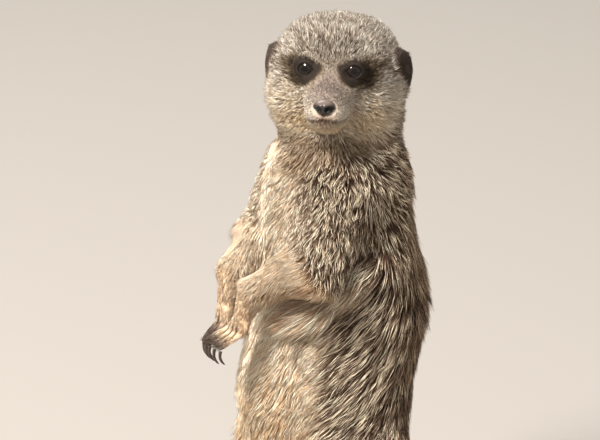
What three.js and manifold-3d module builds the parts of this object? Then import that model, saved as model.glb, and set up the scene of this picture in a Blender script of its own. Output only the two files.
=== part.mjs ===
// A life-size standing meerkat: upright on its hind feet, tail propped on the floor behind,
// head turned over its left shoulder, forepaws hanging in front of the chest.
// Millimetres, +Z up. The body faces -Y, its left side is +X, and the floor is z = 0.
//
// The body is one field of rounded volumes, out to the tips of the coat. Each part is a capsule
// whose points move out from its own axis until they meet that field, then flat cuts part it
// from its neighbours. Claws, eyes and nose are pieces of their own, set into the flesh.

import * as THREE from "three";
import { mergeVertices } from "three/addons/utils/BufferGeometryUtils.js";
import Module from "manifold-3d";

const wasm = await Module();
wasm.setup();

// ---------------------------------------------------------------- driving dimensions
const GAP = 0.32; // clearance between neighbouring solids
const HEAD_CENTRE = [1.6, -2.8, 283.5];
const HEAD_YAW = 57.6; // degrees, turned towards the left shoulder
const HEAD_PITCH = 6.3; // muzzle lifted above the level
const HEAD_ROLL = 0.8; // left side of the head a very little lower
const EYE_RADIUS = 5;
const EYE_AT = [10, -22, 4.5]; // in the head's own frame
const NECK_CUT = 256; // height of the cut between neck and head
const CHEST_CUT = 232; // height of the cut between trunk and neck
const SOLE_HALF_GAP = 25; // half the distance between the feet
const FLOOR = 0;

// ---------------------------------------------------------------- vectors
const V = (x, y, z) => new THREE.Vector3(x, y, z);
const vector = (p) => (p.isVector3 ? p.clone() : V(...p));
const mirrored = (p, side) => V(p[0] * side, p[1], p[2]);

// ---------------------------------------------------------------- the field of volumes
// Each volume is a function of a point that is below zero inside it, in millimetres.
function ball(centre, radii) {
  const [cx, cy, cz] = centre;
  const [rx, ry, rz] = radii;
  return (p) => {
    const [x, y, z] = [(p.x - cx) / rx, (p.y - cy) / ry, (p.z - cz) / rz];
    const k0 = Math.hypot(x, y, z);
    const k1 = Math.hypot(x / rx, y / ry, z / rz);
    return k1 < 1e-9 ? -Math.min(rx, ry, rz) : (k0 * (k0 - 1)) / k1;
  };
}

function bone(from, to, fromRadius, toRadius) {
  const a = vector(from);
  const ab = vector(to).sub(a);
  const lengthSq = ab.lengthSq();
  const offset = V(0, 0, 0);
  return (p) => {
    offset.copy(p).sub(a);
    const t = Math.min(1, Math.max(0, offset.dot(ab) / lengthSq));
    return offset.addScaledVector(ab, -t).length() - (fromRadius + (toRadius - fromRadius) * t);
  };
}

// Several volumes in one, with fillets of about this size where they meet.
function blend(fillet, ...volumes) {
  return (p) =>
    volumes
      .map((volume) => volume(p))
      .reduce((a, b) => {
        const h = Math.max(fillet - Math.abs(a - b), 0) / fillet;
        return Math.min(a, b) - (h * h * fillet) / 4;
      });
}

// A limb that widens into the body it grows from, by no more than the flare.
const rooted = (limb, body, fillet, flare) => {
  const joined = blend(fillet, limb, body);
  return (p) => Math.max(joined(p), limb(p) - flare);
};

const placed = (volume, matrix) => {
  const inverse = matrix.clone().invert();
  const local = V(0, 0, 0);
  return (p) => volume(local.copy(p).applyMatrix4(inverse));
};

// ---------------------------------------------------------------- solids
function solidOf(geometry) {
  const bare = geometry.clone();
  for (const name of Object.keys(bare.attributes)) {
    if (name !== "position") bare.deleteAttribute(name);
  }
  const merged = mergeVertices(bare, 1e-4);
  const corners = merged.index.array;
  const kept = [];
  for (let i = 0; i < corners.length; i += 3) {
    const [a, b, c] = corners.slice(i, i + 3);
    if (a !== b && b !== c && c !== a) kept.push(a, b, c);
  }
  return new wasm.Manifold(
    new wasm.Mesh({
      numProp: 3,
      vertProperties: merged.attributes.position.array,
      triVerts: new Uint32Array(kept),
    }),
  );
}

// A right-handed frame (side, along, out) at a share t of the path.
function frameAt(path, t, sideways) {
  const along = path.getTangentAt(t);
  const side = sideways.clone().addScaledVector(along, -along.dot(sideways)).normalize();
  return { point: path.getPointAt(t), side, along, out: side.clone().cross(along) };
}

// A capsule bent along the path, each point moved straight out from the path to the field's surface.
// grow is how far outside that surface, and reach the furthest from the path that a point may go.
function skin(points, volume, { around, lengthwise, cap, reach = 70, grow = 0, sideways = [1, 0, 0] }) {
  const path = new THREE.CatmullRomCurve3(points.map(vector));
  const length = path.getLength();
  const shape = new THREE.CapsuleGeometry(1, length, cap, around, lengthwise);
  const position = shape.attributes.position;
  const [vertex, direction, spot, sideVector] = [V(0, 0, 0), V(0, 0, 0), V(0, 0, 0), vector(sideways)];
  for (let i = 0; i < position.count; i++) {
    vertex.fromBufferAttribute(position, i);
    const onAxis = THREE.MathUtils.clamp(vertex.y, -length / 2, length / 2);
    const { point, side, along, out } = frameAt(path, onAxis / length + 0.5, sideVector);
    direction.set(0, 0, 0).addScaledVector(side, vertex.x).addScaledVector(along, vertex.y - onAxis);
    direction.addScaledVector(out, vertex.z).normalize();
    const field = (r) => volume(spot.copy(point).addScaledVector(direction, r)) - grow;
    let far = 0.2;
    while (far < reach && field(far) < 0) far += 0.8;
    let near = Math.max(far - 0.8, 0.2);
    far = Math.min(far, reach);
    for (let step = 0; step < 14; step++) {
      const middle = (near + far) / 2;
      if (field(middle) < 0) near = middle;
      else far = middle;
    }
    spot.copy(point).addScaledVector(direction, far);
    position.setXYZ(i, spot.x, spot.y, spot.z);
  }
  return solidOf(shape);
}

// The side of a flat cut that the direction points to, less half the gap.
function keep(solid, point, direction) {
  const normal = vector(direction).normalize();
  return solid.trimByPlane(normal.toArray(), normal.dot(vector(point)) + GAP / 2);
}

// The direction of a joint's cut: halfway between the lengths that meet there.
function bisector(before, joint, after) {
  const incoming = vector(joint).sub(vector(before)).normalize();
  return incoming.add(vector(after).sub(vector(joint)).normalize());
}

// A cut leaves loose crumbs where two surfaces graze each other, so only the main body stays.
function mainBody(solid) {
  return solid.decompose().sort((a, b) => b.volume() - a.volume())[0];
}

const onFloor = (solid) => solid.trimByPlane([0, 0, 1], FLOOR);

// ---------------------------------------------------------------- materials
const finish = (color, roughness) => new THREE.MeshStandardMaterial({ color, roughness, metalness: 0 });
const crownCoat = finish(0xb3a693, 0.9);
const backCoat = finish(0x8b7760, 0.9);
const creamCoat = finish(0xd3c1a0, 0.9);
const darkCoat = finish(0x33291f, 0.85);
const tailCoat = finish(0xb4976d, 0.9);
const hornyClaw = finish(0x2e2420, 0.45);
const wetEye = finish(0x1c120c, 0.12);
const bareNose = finish(0x3a2d28, 0.5);

const animal = new THREE.Group();
function addPart(name, solid, material, parent = animal) {
  const body = mainBody(solid).getMesh();
  const geometry = new THREE.BufferGeometry();
  geometry.setAttribute("position", new THREE.BufferAttribute(body.vertProperties, 3));
  geometry.setIndex(new THREE.BufferAttribute(body.triVerts, 1));
  geometry.computeVertexNormals();
  const part = new THREE.Mesh(geometry, material);
  part.name = name;
  parent.add(part);
}

// ---------------------------------------------------------------- head, in its own frame
// Its own frame has the muzzle along -Y and the crown up, about the middle of the skull.
const headGroup = new THREE.Group();
headGroup.rotation.order = "ZXY";
headGroup.rotation.set(
  THREE.MathUtils.degToRad(-HEAD_PITCH),
  THREE.MathUtils.degToRad(HEAD_ROLL),
  THREE.MathUtils.degToRad(HEAD_YAW),
);
headGroup.position.set(...HEAD_CENTRE);
headGroup.updateMatrix();
animal.add(headGroup);
const headMatrix = headGroup.matrix;
const toHead = headMatrix.clone().invert();

const pair = (shape, [x, y, z], size) => [shape([x, y, z], size), shape([-x, y, z], size)];
const face = blend(
  7,
  ...pair(ball, [7, 6, 3], [21.5, 27.5, 21.3]), // braincase
  ball([0, -9, 1.5], [23.5, 19, 17.5]), // brow and cheekbones
  ball([14, -2, -11], [14.5, 17, 14]), // left cheek ruff, pressed back by the shoulder
  ball([-16.5, -4, -11], [14.5, 17, 14]), // right cheek ruff, spread by the turn of the head
  bone([0, -16, -4], [0, -35, -9], 10.8, 8.2), // bridge of the muzzle
  bone([0, -29, -12.5], [0, -37.5, -12], 8.4, 6.3), // whisker pads
  bone([0, -2, -17.5], [0, -29.5, -15.6], 11.5, 4.8), // lower jaw
);
const head = placed(face, headMatrix);
const skullAxis = [
  [0, -31, -10],
  [0, -10, -2],
  [0, 8, 3],
];

// ---------------------------------------------------------------- trunk and neck volumes
const neck = bone([0, 0, 236], [-2, 2, 266], 29, 26.5);
const chest = ball([0, -1.5, 212], [34, 35.5, 54]);
const ribs = ball([0, 1, 174], [38, 42, 50]);
const belly = ball([0, -7, 134], [39, 41.5, 50]);
const rump = ball([0, -4, 106], [34, 35, 32]);
const trunk = blend(9, chest, ribs, belly, rump);
const trunkAxis = [
  [0, 1, 232],
  [0, 1, 190],
  [0, -3, 150],
  [0, -2, 108],
];
const trunkSize = { around: 24, lengthwise: 9, cap: 4 };
const trunkWhole = skin(trunkAxis, blend(12, trunk, neck), trunkSize);
const trunkGrown = skin(trunkAxis, blend(12, trunk, neck), { ...trunkSize, grow: GAP });
const neckAxis = [
  [0, 0, 224],
  [0, 1, 245],
  [0, 1, 264],
];
const neckSize = { around: 22, lengthwise: 5, cap: 2, reach: 38 };
const neckVolume = blend(12, neck, trunk, head);
const neckWhole = skin(neckAxis, neckVolume, neckSize);
const neckGrown = skin(neckAxis, neckVolume, { ...neckSize, grow: GAP });

addPart("trunk", keep(trunkWhole, [0, 0, CHEST_CUT], [0, 0, -1]), backCoat);
const neckBelowHead = keep(neckWhole, [0, 0, NECK_CUT], [0, 0, -1]);
addPart("neck", keep(neckBelowHead, [0, 0, CHEST_CUT], [0, 0, 1]), backCoat);

// ---------------------------------------------------------------- head parts
const skullSize = { around: 22, lengthwise: 7, cap: 5 };
const headVolume = blend(10, face, placed(neck, toHead));
const headWhole = skin(skullAxis, headVolume, skullSize);
const headGrown = skin(skullAxis, headVolume, { ...skullSize, grow: GAP });
const localCut = V(0, 0, NECK_CUT).applyMatrix4(toHead);
const localUp = V(0, 0, 1).transformDirection(toHead);

const sphere = (radius, centre) =>
  solidOf(new THREE.SphereGeometry(radius, 12, 7).rotateX(Math.PI / 2).translate(...centre));
const noseShape = (grow) =>
  solidOf(
    new THREE.SphereGeometry(1, 12, 7)
      .rotateX(Math.PI / 2)
      .scale(4.8 + grow, 4.8 + grow, 3.7 + grow)
      .translate(0, -41.6, -8.4),
  );

let headSolid = keep(headWhole, localCut, localUp).subtract(noseShape(GAP));
for (const side of [1, -1]) {
  const name = side > 0 ? "left" : "right";
  const eyeAt = mirrored(EYE_AT, side).toArray();
  headSolid = headSolid.subtract(sphere(EYE_RADIUS + GAP, eyeAt));
  addPart(`eye_${name}`, sphere(EYE_RADIUS, eyeAt), wetEye, headGroup);

  // A low crescent, rounded above and narrowing to its foot, lying back along the skull.
  const ear = new THREE.SphereGeometry(1, 14, 12);
  const rim = ear.attributes.position;
  for (let i = 0; i < rim.count; i++) {
    const [x, y, z] = [rim.getX(i), rim.getY(i), rim.getZ(i)];
    const narrowing = 1 - 0.42 * Math.max(0, -z) ** 1.4;
    const cupping = 1.2 * x * x;
    rim.setXYZ(i, 11.4 * x * narrowing, 2.1 * y * narrowing - cupping, 13 * z);
  }
  ear.rotateY(THREE.MathUtils.degToRad(-7));
  ear.rotateZ(THREE.MathUtils.degToRad(73));
  ear.translate(27.9, 1, -2.1);
  if (side < 0) {
    ear.scale(-1, 1, 1);
    const faces = ear.index.array;
    for (let i = 0; i < faces.length; i += 3) {
      [faces[i + 1], faces[i + 2]] = [faces[i + 2], faces[i + 1]];
    }
  }
  addPart(`ear_${name}`, solidOf(ear).subtract(headGrown), darkCoat, headGroup);
}
addPart("head", headSolid, crownCoat, headGroup);
addPart("nose", noseShape(0), bareNose, headGroup);

// ---------------------------------------------------------------- claws
// A horn cone bent along a quarter turn: flat-sided, thick at the root and sharp at the tip.
function claw(root, bulge, tip, radius, sideways) {
  const path = new THREE.QuadraticBezierCurve3(vector(root), vector(bulge), vector(tip));
  const steps = 4;
  const profile = [new THREE.Vector2(0, 0)];
  for (let i = 0; i < steps; i++) {
    profile.push(new THREE.Vector2(radius * Math.sqrt(1 - i / steps), i / steps));
  }
  profile.push(new THREE.Vector2(0, 1));
  const shape = new THREE.LatheGeometry(profile, 6);
  const position = shape.attributes.position;
  for (let i = 0; i < position.count; i++) {
    const [x, t, z] = [position.getX(i), position.getY(i), position.getZ(i)];
    const { point, side, out } = frameAt(path, THREE.MathUtils.clamp(t, 0, 1), vector(sideways));
    point.addScaledVector(side, x * 0.72).addScaledVector(out, z);
    position.setXYZ(i, point.x, point.y, point.z);
  }
  return solidOf(shape);
}

// ---------------------------------------------------------------- forelimbs
// The forearms are held level with the hands drooping from them, the left a little further out.
const forelimbs = {
  left: {
    side: 1,
    shoulder: [22, -11, 236],
    elbow: [34.5, -26, 205],
    wrist: [16, -49.5, 192.5],
    knuckles: [13.5, -55.5, 175.5],
    web: [28, -18, 223],
    across: [0.97, 0.2, -0.1],
    droop: [-12.5, -6], // how far the fingers reach forwards and down
  },
  right: {
    side: -1,
    shoulder: [-20.5, -9.5, 234],
    elbow: [-30, -23, 200],
    wrist: [-9, -48, 194],
    knuckles: [-9, -52.5, 171.5],
    web: [-24, -16, 220],
    across: [-0.97, 0.2, -0.1],
    droop: [-9, -9],
  },
};
const FINGER_SPACING = 3.5;

for (const [name, limb] of Object.entries(forelimbs)) {
  const { shoulder, elbow, wrist, knuckles, web } = limb;
  const across = vector(limb.across).normalize();
  const upper = bone(shoulder, elbow, 16.5, 12);
  const fore = blend(4, bone(elbow, wrist, 12, 6), bone(web, wrist, 9, 5.2)); // loose skin fills the bend
  const palmEnd = vector(knuckles);
  const palm = blend(
    2,
    bone(wrist, knuckles, 6, 4.6),
    bone(palmEnd.clone().addScaledVector(across, -4), palmEnd.clone().addScaledVector(across, 4), 3.2, 3.2),
  );
  const arm = blend(7, upper, fore, palm);

  const upperSize = { around: 14, lengthwise: 4, cap: 3, reach: 26 };
  const upperSolid = skin([shoulder, elbow], rooted(arm, trunk, 12, 4), upperSize)
    .subtract(trunkGrown)
    .subtract(neckGrown);
  addPart(`upper_arm_${name}`, keep(upperSolid, elbow, bisector(wrist, elbow, shoulder)), backCoat);

  const foreSize = { around: 14, lengthwise: 6, cap: 3, reach: 20 };
  let foreSolid = skin([elbow, wrist], arm, foreSize).subtract(trunkGrown);
  foreSolid = keep(foreSolid, elbow, bisector(shoulder, elbow, wrist));
  addPart(`forearm_${name}`, keep(foreSolid, wrist, bisector(knuckles, wrist, elbow)), creamCoat);

  const palmSize = { around: 10, lengthwise: 3, cap: 2, reach: 9, sideways: across };
  const fingerAxes = [-1.5, -0.5, 0.5, 1.5].map((place) => {
    const root = vector(knuckles).addScaledVector(across, place * FINGER_SPACING * 0.75);
    const inward = Math.abs(place) * 0.7;
    const tip = vector(knuckles)
      .addScaledVector(across, place * FINGER_SPACING)
      .add(V(0, limb.droop[0] + inward, limb.droop[1] + inward * 0.4));
    return { root, tip, place };
  });
  const handWith = (grow) =>
    fingerAxes.reduce(
      (solid, { root, tip }) =>
        solid.add(
          skin([root, tip], bone(root, tip, 2.3, 1.75), {
            around: 6,
            lengthwise: 2,
            cap: 1,
            reach: 4,
            grow,
            sideways: across,
          }),
        ),
      skin([wrist, knuckles], arm, { ...palmSize, grow }),
    );
  const handSolid = keep(handWith(0), wrist, bisector(elbow, wrist, knuckles)).subtract(trunkGrown);
  addPart(`hand_${name}`, handSolid, creamCoat);
  const handGrown = handWith(GAP);
  fingerAxes.forEach(({ tip, place }, i) => {
    const length = 10 - Math.abs(place) * 0.8;
    const root = tip.clone().add(V(0, 0.8, 0.8));
    const bulge = tip.clone().add(V(0, -3.6, -length * 0.5));
    const point = tip.clone().add(V(-0.2 * place, 2.6, -length));
    const solid = claw(root, bulge, point, 1.15, across).subtract(handGrown);
    addPart(`fore_claw_${name}_${i + 1}`, solid, hornyClaw);
  });
}

// ---------------------------------------------------------------- hind limbs
const TOE_SPACING = 5;
const thighsGrown = [];
for (const side of [1, -1]) {
  const name = side > 0 ? "left" : "right";
  const hip = mirrored([19, -1, 108], side);
  const knee = mirrored([31, -25, 70], side);
  const hock = mirrored([SOLE_HALF_GAP + 1, 17, 20], side);
  const heel = mirrored([SOLE_HALF_GAP + 0.5, 15, 6.6], side);
  const ankle = mirrored([SOLE_HALF_GAP + 0.7, 14.5, 12.5], side); // where the foot's axis starts
  const ballOfFoot = mirrored([SOLE_HALF_GAP + 3, -25, 5], side);
  const across = V(side, side * 0.07, 0).normalize();

  const haunch = ball(mirrored([22, -10, 98], side).toArray(), [18, 34, 36]);
  const thigh = blend(10, haunch, bone(hip, knee, 22, 14.5));
  const shank = bone(knee, hock, 14, 7.6);
  const foot = blend(
    4,
    bone(hock, heel, 7.2, 7.2),
    bone(heel, ballOfFoot, 7.2, 5.8),
    bone(
      ballOfFoot.clone().addScaledVector(across, -4.5),
      ballOfFoot.clone().addScaledVector(across, 4.5),
      4.6,
      4.6,
    ),
  );
  const leg = blend(9, thigh, shank, foot);

  const thighAxis = [hip, knee];
  const thighSize = { around: 16, lengthwise: 5, cap: 3, reach: 46 };
  const thighVolume = rooted(leg, trunk, 14, 4);
  const thighSolid = skin(thighAxis, thighVolume, thighSize).subtract(trunkGrown);
  thighsGrown.push(skin(thighAxis, thighVolume, { ...thighSize, grow: GAP }));
  const kneeCut = keep(thighSolid, knee, bisector(hock, knee, hip));
  addPart(`thigh_${name}`, keep(kneeCut, [0, 0, 0], [side, 0, 0]), backCoat);

  const shankSolid = skin([knee, hock], leg, { around: 12, lengthwise: 6, cap: 3, reach: 22 });
  const belowKnee = keep(shankSolid.subtract(trunkGrown), knee, bisector(hip, knee, hock));
  addPart(`shank_${name}`, keep(belowKnee, hock, [0, 0, 1]), creamCoat);

  const toeAxes = [-1.5, -0.5, 0.5, 1.5].map((place) => {
    const start = ballOfFoot.clone().addScaledVector(across, place * TOE_SPACING * 0.8);
    const reach = 14.5 - Math.abs(place) * 2.2;
    const end = ballOfFoot
      .clone()
      .addScaledVector(across, place * TOE_SPACING)
      .add(V(0, -reach, -1.6));
    return { start, end, place };
  });
  const footWith = (grow) =>
    toeAxes.reduce(
      (solid, { start, end }) =>
        solid.add(
          skin([start, end], bone(start, end, 3.7, 2.9), {
            around: 6,
            lengthwise: 2,
            cap: 1,
            reach: 6,
            grow,
          }),
        ),
      skin([ankle, ballOfFoot], leg, { around: 12, lengthwise: 4, cap: 3, reach: 21, grow }),
    );
  const footSolid = keep(footWith(0), hock, [0, 0, -1]);
  addPart(`foot_${name}`, onFloor(footSolid), creamCoat);
  const footGrown = footWith(GAP);
  toeAxes.forEach(({ end, place }, i) => {
    const root = end.clone().add(V(0, 0.5, 0.6));
    const bulge = end.clone().add(V(0, -6.2, 1.2));
    const point = end.clone().add(V(0.15 * side * place, -9.6, -2.4));
    const solid = claw(root, bulge, point, 1.5, across).subtract(footGrown);
    addPart(`hind_claw_${name}_${i + 1}`, solid, hornyClaw);
  });
}

// ---------------------------------------------------------------- tail
// From the rump down to the floor, then along it with a lazy bend.
const tailCurve = new THREE.CatmullRomCurve3(
  [
    [0, 12, 98],
    [0, 36, 80],
    [1, 56, 50],
    [4, 80, 20],
    [10, 112, 8],
    [22, 150, 6.4],
    [42, 184, 4.6],
    [62, 203, 3.4],
  ].map(vector),
);
const TAIL_ROOT_RADIUS = 13;
const TAIL_TIP_RADIUS = 4;
const TAIL_CUTS = [0.38, 0.72]; // shares of its length where it is parted
const tailRadius = (t) => THREE.MathUtils.lerp(TAIL_ROOT_RADIUS, TAIL_TIP_RADIUS, t ** 0.85);
const TAIL_STEPS = 16;
const tailBones = Array.from({ length: TAIL_STEPS }, (_, i) => {
  const [t, next] = [i / TAIL_STEPS, (i + 1) / TAIL_STEPS];
  return bone(tailCurve.getPointAt(t), tailCurve.getPointAt(next), tailRadius(t), tailRadius(next));
});
const tail = blend(2, ...tailBones);

// One length of the tail between two shares of it, as far as the cuts there.
function tailLength(from, to, volume) {
  const points = [0, 1, 2, 3, 4].map((i) => tailCurve.getPointAt(THREE.MathUtils.lerp(from, to, i / 4)));
  const size = { around: 11, lengthwise: 7, cap: 2, reach: 19 };
  let solid = skin(points, volume, size);
  if (from > 0) solid = keep(solid, points[0], tailCurve.getTangentAt(from));
  if (to < 1) solid = keep(solid, points[4], tailCurve.getTangentAt(to).negate());
  return solid;
}
let tailRoot = tailLength(0, TAIL_CUTS[0], rooted(tail, trunk, 12, 3)).subtract(trunkGrown);
for (const thigh of thighsGrown) tailRoot = tailRoot.subtract(thigh);
addPart("tail_root", tailRoot, tailCoat);
addPart("tail_middle", onFloor(tailLength(TAIL_CUTS[0], TAIL_CUTS[1], tail)), tailCoat);
addPart("tail_tip", onFloor(tailLength(TAIL_CUTS[1], 1, tail)), darkCoat);

// ---------------------------------------------------------------- the part's own origin
// The middle of the whole model's box, on the floor.
const box = new THREE.Box3().setFromObject(animal, true);
const middleOfBox = box.getCenter(V(0, 0, 0));
animal.position.set(-middleOfBox.x, -middleOfBox.y, -box.min.z);

const meerkat = new THREE.Group();
meerkat.name = "meerkat";
meerkat.add(animal);
export default meerkat;
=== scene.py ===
import math

import bmesh
import bpy
import numpy as np
from mathutils import Matrix, Vector
from mathutils.bvhtree import BVHTree
from mathutils.kdtree import KDTree


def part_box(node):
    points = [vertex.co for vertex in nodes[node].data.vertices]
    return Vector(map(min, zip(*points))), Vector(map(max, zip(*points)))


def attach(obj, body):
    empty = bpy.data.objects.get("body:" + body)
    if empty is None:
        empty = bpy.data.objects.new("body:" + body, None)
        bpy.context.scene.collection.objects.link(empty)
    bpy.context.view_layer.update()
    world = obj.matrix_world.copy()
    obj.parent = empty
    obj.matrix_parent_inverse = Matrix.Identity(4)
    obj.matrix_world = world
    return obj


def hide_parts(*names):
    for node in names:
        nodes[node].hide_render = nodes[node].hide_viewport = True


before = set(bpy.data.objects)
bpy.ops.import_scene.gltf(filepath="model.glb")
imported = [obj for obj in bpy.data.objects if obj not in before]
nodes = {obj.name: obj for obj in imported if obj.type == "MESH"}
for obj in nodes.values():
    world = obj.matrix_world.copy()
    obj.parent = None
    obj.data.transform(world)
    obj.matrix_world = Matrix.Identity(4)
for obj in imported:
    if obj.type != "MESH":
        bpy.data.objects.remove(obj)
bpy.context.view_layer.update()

scene = bpy.context.scene

# ------------------------------------------------------------------ camera
# A long lens a little above the animal's head, over its left shoulder.
# The body is measured in millimetres from the floor point between its feet: x to its own
# left, y to its back, z up.
MM = 0.001
HEEL_TO_MIDDLE = 26.0
VIEW_AZIMUTH, VIEW_ELEVATION = math.radians(65), math.radians(20)
VIEW_DISTANCE = 1.6
LENS = 206.4
AIM_RIGHT, AIM_UP = -17.7, 200.0
sole_left, sole_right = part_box("foot_left"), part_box("foot_right")
body_middle = np.array(
    [
        (sole_left[0].x + sole_left[1].x + sole_right[0].x + sole_right[1].x) / 4,
        sole_left[1].y - HEEL_TO_MIDDLE * MM,
        0.0,
    ]
)
view_right = np.array([math.cos(VIEW_AZIMUTH), math.sin(VIEW_AZIMUTH), 0])
view_back = np.array(
    [
        math.sin(VIEW_AZIMUTH) * math.cos(VIEW_ELEVATION),
        -math.cos(VIEW_AZIMUTH) * math.cos(VIEW_ELEVATION),
        math.sin(VIEW_ELEVATION),
    ]
)
view_up = np.cross(view_back, view_right)
aim = body_middle + (view_right * AIM_RIGHT + view_up * AIM_UP) * MM
camera_data = bpy.data.cameras.new("camera")
camera_data.sensor_width = 36
camera_data.lens = LENS
camera_data.clip_start = 0.05
camera = bpy.data.objects.new("camera", camera_data)
camera.location = Vector(aim + view_back * VIEW_DISTANCE)
camera.rotation_mode = "QUATERNION"
camera.rotation_quaternion = (-Vector(view_back)).to_track_quat("-Z", "Y")
scene.collection.objects.link(camera)
scene.camera = camera

# ------------------------------------------------------------------ studio floor
# A plain pale floor that runs back out of sight behind the animal. It is only staging, and
# isn't part of the model. The small tools that every later section uses follow.


def unit(v):
    v = np.asarray(v, float)
    return v / np.maximum(np.linalg.norm(v, axis=-1, keepdims=True), 1e-12)


class Shade:
    """A shader socket that multiplies as a number does."""

    def __init__(self, tree, socket):
        self.tree, self.socket = tree, socket

    def node(self, kind, settings, *values, out=0):
        return shader_node(self.tree, kind, settings, *values, out=out)

    def maths(self, operation, *values):
        return self.node("ShaderNodeMath", {"operation": operation}, *values)

    def __rsub__(self, other):
        return self.maths("SUBTRACT", other, self)

    def __mul__(self, other):
        return self.maths("MULTIPLY", self, other)

    def between(self, low, high):
        """0 below low, 1 above high and smooth between them."""
        settings = {"interpolation_type": "SMOOTHSTEP"}
        return self.node("ShaderNodeMapRange", settings, self, low, high)


def shader_node(tree, kind, settings, *values, out=0):
    """A node of this kind: its settings first, then its sockets' values or links in their order."""
    made = tree.nodes.new(kind)
    for name, value in settings.items():
        setattr(made, name, value)
    sockets = [s for s in made.inputs if s.enabled]
    for socket, value in zip(sockets, values):
        if isinstance(value, Shade):
            tree.links.new(value.socket, socket)
        elif value is not None:
            socket.default_value = value
    outputs = [s for s in made.outputs if s.enabled]
    return Shade(tree, outputs[out])


def mixed(share, low, high):
    """A colour between two others."""
    return share.node("ShaderNodeMix", {"data_type": "RGBA"}, share, low, high)


def new_material(name, roughness, specular=0.5):
    """A material, its node tree and its shader node."""
    material = bpy.data.materials.new(name)
    material.use_nodes = True
    shader = material.node_tree.nodes["Principled BSDF"]
    shader.inputs["Roughness"].default_value = roughness
    shader.inputs["Specular IOR Level"].default_value = specular
    return material, material.node_tree, shader


def feed(shader, name, value):
    shader.id_data.links.new(value.socket, shader.inputs[name])


def linear(colour):
    """A colour mixed on a scale of 0 to 255, as the shader's linear light."""
    share = np.asarray(colour, float) / 255
    return np.where(share <= 0.04045, share / 12.92, ((share + 0.055) / 1.055) ** 2.4)


def add_object(name, data):
    made = bpy.data.objects.new(name, data)
    scene.collection.objects.link(made)
    return made


def rgba(*colour):
    return (*[float(c) for c in linear(colour)], 1.0)


FLOOR_COLOUR = (152, 147, 141)
floor_mesh = bmesh.new()
bmesh.ops.create_grid(floor_mesh, x_segments=1, y_segments=1, size=4.0)
floor_data = bpy.data.meshes.new("studio_floor")
floor_mesh.to_mesh(floor_data)
floor_mesh.free()
floor = add_object("studio_floor", floor_data)
floor_material, _, floor_shader = new_material("pale_floor", 0.9, 0.2)
floor_shader.inputs["Base Color"].default_value = rgba(*FLOOR_COLOUR)
floor_data.materials.append(floor_material)

# ------------------------------------------------------------------ studio light
# Two large soft lamps: the main one high to the camera's left, and a weaker one behind that
# edges the coat with light. An even pale surround fills the shadows.
SKY_STRENGTH = 0.86
LAMPS = {
    # sideways, height, towards the camera, size, watts, colour
    "key_lamp": (-0.8, 1.5, 1.0, 0.55, 92, (1.0, 0.96, 0.91)),
    "rim_lamp": (-0.4, 1.4, -1.1, 0.8, 18, (1.0, 0.97, 0.92)),
}
world = bpy.data.worlds.new("studio")
world.use_nodes = True
world.node_tree.nodes["Background"].inputs["Color"].default_value = (1.0, 0.965, 0.93, 1)
world.node_tree.nodes["Background"].inputs["Strength"].default_value = SKY_STRENGTH
scene.world = world
scene.view_settings.view_transform = "Standard"
chest_middle = body_middle + np.array([0, 0, 200 * MM])
level_back = unit(view_back * [1, 1, 0])
for name, (sideways, height, towards, size, watts, colour) in LAMPS.items():
    lamp_data = bpy.data.lights.new(name, "AREA")
    lamp_data.shape = "DISK"
    lamp_data.size = size
    lamp_data.energy = watts
    lamp_data.color = colour
    lamp = add_object(name, lamp_data)
    place = chest_middle + view_right * sideways + level_back * towards + np.array([0, 0, height])
    lamp.location = Vector(place)
    lamp.rotation_mode = "QUATERNION"
    lamp.rotation_quaternion = Vector(chest_middle - place).to_track_quat("-Z", "Y")

# ------------------------------------------------------------------ the head's own frame
# The head is measured about the middle of the skull: x to its left, y to its back, z to its
# crown. Its two eyes and its nose set that frame.
EYE_PLACE = np.array([10.0, -22.0, 4.5])
NOSE_PLACE = np.array([0.0, -41.6, -8.4])
NOSE_SIZE = np.array([4.8, 4.8, 3.7])
MIRROR = np.array([-1.0, 1.0, 1.0])


def node_middle(name):
    low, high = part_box(name)
    return np.array((low + high) / 2)


eye_left, eye_right = node_middle("eye_left"), node_middle("eye_right")
head_x = unit(eye_left - eye_right)
to_nose = node_middle("nose") - (eye_left + eye_right) / 2
to_nose = unit(to_nose - head_x * (to_nose @ head_x))
beside = np.cross(head_x, to_nose)
forward, drop = unit((NOSE_PLACE - EYE_PLACE)[1:])
head_axes = np.array([head_x, to_nose * forward - beside * drop, to_nose * drop + beside * forward])
head_middle = (eye_left + eye_right) / 2 - (EYE_PLACE * [0, 1, 1]) @ head_axes * MM


def on_body(points):
    return (np.asarray(points) - body_middle) / MM


def in_head(points):
    return (np.asarray(points) - head_middle) @ head_axes.T / MM


def from_head(places):
    return np.asarray(places) @ head_axes * MM + head_middle


def fold(places):
    """The places of both sides laid over the left side."""
    return np.abs(places) * [1, 0, 0] + places * [0, 1, 1]


def round_front(places):
    """Degrees round the body from its front, more to its left."""
    return np.degrees(np.arctan2(places[:, 0], -places[:, 1]))


def mirror_of(places):
    """What turns each place over to the left side: itself, or its mirror image."""
    return np.where(places[:, :1] < 0, MIRROR, 1)


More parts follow.
